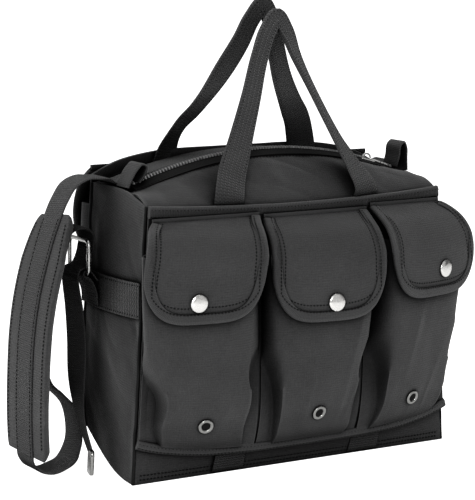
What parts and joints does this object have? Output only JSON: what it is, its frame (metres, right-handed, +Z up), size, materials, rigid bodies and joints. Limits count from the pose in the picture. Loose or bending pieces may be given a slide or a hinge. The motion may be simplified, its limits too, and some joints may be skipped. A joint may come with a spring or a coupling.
{
  "type": "flight bag",
  "caption": "Canvas flight bag with an arched zip, snap-flap magazine pockets on both long sides, twin webbing handles and a padded shoulder strap.",
  "frame": {"origin": "middle of the base, on the ground", "axes": "+X to the right-hand end seen from the front, -Y out of the front with the pockets, +Z up"},
  "size_m": [0.3965, 0.1913, 0.3927],
  "materials": {
    "canvas": "heavy cotton canvas, matt charcoal",
    "webbing": "ribbed cotton webbing, matt charcoal",
    "pad": "canvas over foam, matt charcoal",
    "zip_tape": "woven zip tape, black",
    "nickel": "nickel plate, polished"
  },
  "bodies": {
    "bag": {"back_grommet_left": "nickel", "back_grommet_middle": "nickel", "back_grommet_right": "nickel", "back_panel": "canvas", "back_pocket_left": "canvas", "back_pocket_middle": "canvas", "back_pocket_panel": "canvas", "back_pocket_right": "canvas", "back_snap_stud_left": "nickel", "back_snap_stud_middle": "nickel", "back_snap_stud_right": "nickel", "bottom_panel": "canvas", "front_grommet_left": "nickel", "front_grommet_middle": "nickel", "front_grommet_right": "nickel", "front_panel": "canvas", "front_pocket_left": "canvas", "front_pocket_middle": "canvas", "front_pocket_panel": "canvas", "front_pocket_right": "canvas", "front_snap_stud_left": "nickel", "front_snap_stud_middle": "nickel", "front_snap_stud_right": "nickel", "left_anchor_tab": "webbing", "left_end_band": "webbing", "left_end_panel": "canvas", "right_anchor_tab": "webbing", "right_end_band": "webbing", "right_end_panel": "canvas", "strap_run": "webbing", "webbing_wrap_left": "webbing", "webbing_wrap_right": "webbing", "zipper_end_tab_left": "canvas", "zipper_end_tab_right": "canvas", "zipper_tape_back": "zip_tape", "zipper_tape_front": "zip_tape"},
    "front_flap_left": {"front_flap_left": "canvas", "front_snap_cap_left": "nickel"},
    "front_flap_middle": {"front_flap_middle": "canvas", "front_snap_cap_middle": "nickel"},
    "front_flap_right": {"front_flap_right": "canvas", "front_snap_cap_right": "nickel"},
    "front_handle_loop": {"front_handle": "webbing"},
    "back_flap_left": {"back_flap_left": "canvas", "back_snap_cap_left": "nickel"},
    "back_flap_middle": {"back_flap_middle": "canvas", "back_snap_cap_middle": "nickel"},
    "back_flap_right": {"back_flap_right": "canvas", "back_snap_cap_right": "nickel"},
    "back_handle_loop": {"back_handle": "webbing"},
    "slider": {"zipper_slider": "nickel"},
    "pull": {"zipper_pull": "nickel"},
    "hanging_strap": {"strap_over_pad": "webbing", "shoulder_pad": "pad", "strap_lower_loop": "webbing"},
    "buckle": {"left_buckle": "nickel", "strap_buckle_turn": "webbing"},
    "tail": {"strap_tail": "webbing", "strap_tip": "nickel"},
    "ring": {"right_ring": "nickel"}
  },
  "joints": [
    {"name": "front_flap_left_lift", "type": "hinge", "parent": "bag", "child": "front_flap_left", "pos_m": [-0.09351, -0.05776, 0.21577], "axis": [-0.9992, 0.0389, 0], "range_deg": [0, 95]},
    {"name": "front_flap_middle_lift", "type": "hinge", "parent": "bag", "child": "front_flap_middle", "pos_m": [0.01194, -0.05978, 0.21373], "axis": [-1, -0.0052, 0], "range_deg": [0, 95]},
    {"name": "front_flap_right_lift", "type": "hinge", "parent": "bag", "child": "front_flap_right", "pos_m": [0.10545, -0.05723, 0.21633], "axis": [-0.9991, -0.0433, 0], "range_deg": [0, 95]},
    {"name": "front_handle_fold", "type": "hinge", "parent": "bag", "child": "front_handle_loop", "pos_m": [0, -0.0518, 0.232], "axis": [-1, 0, 0], "range_deg": [-90, 4]},
    {"name": "back_flap_left_lift", "type": "hinge", "parent": "bag", "child": "back_flap_left", "pos_m": [-0.0957, 0.05702, 0.24842], "axis": [0.9994, 0.0355, 0], "range_deg": [0, 95]},
    {"name": "back_flap_middle_lift", "type": "hinge", "parent": "bag", "child": "back_flap_middle", "pos_m": [0, 0.0584, 0.2516], "axis": [1, 0, 0], "range_deg": [0, 95]},
    {"name": "back_flap_right_lift", "type": "hinge", "parent": "bag", "child": "back_flap_right", "pos_m": [0.0957, 0.05702, 0.24842], "axis": [0.9994, -0.0355, 0], "range_deg": [0, 95]},
    {"name": "back_handle_fold", "type": "hinge", "parent": "bag", "child": "back_handle_loop", "pos_m": [0, 0.0516, 0.2695], "axis": [1, 0, 0], "range_deg": [-90, 4]},
    {"name": "zipper_travel", "type": "hinge", "parent": "bag", "child": "slider", "pos_m": [0, 0, -0.11896], "axis": [0, 1, 0], "range_deg": [-33.8, 0]},
    {"name": "zipper_pull_lift", "type": "hinge", "parent": "slider", "child": "pull", "pos_m": [0.10484, 0, 0.25134], "axis": [0, -1, 0], "range_deg": [0, 150]},
    {"name": "strap_swing", "type": "hinge", "parent": "bag", "child": "hanging_strap", "pos_m": [-0.151, 0.026, 0.2455], "axis": [0, 1, 0], "range_deg": [0, 12]},
    {"name": "buckle_tilt", "type": "hinge", "parent": "bag", "child": "buckle", "pos_m": [-0.167, 0.026, 0.1675], "axis": [0, 1, 0], "range_deg": [0, 3]},
    {"name": "tail_swing", "type": "hinge", "parent": "buckle", "child": "tail", "pos_m": [-0.1755, 0.026, 0.1612], "axis": [1, 0, 0], "range_deg": [-16, 0]},
    {"name": "ring_tilt", "type": "hinge", "parent": "bag", "child": "ring", "pos_m": [0.167, 0.026, 0.1675], "axis": [0, 1, 0], "range_deg": [-3, 3]}
  ]
}
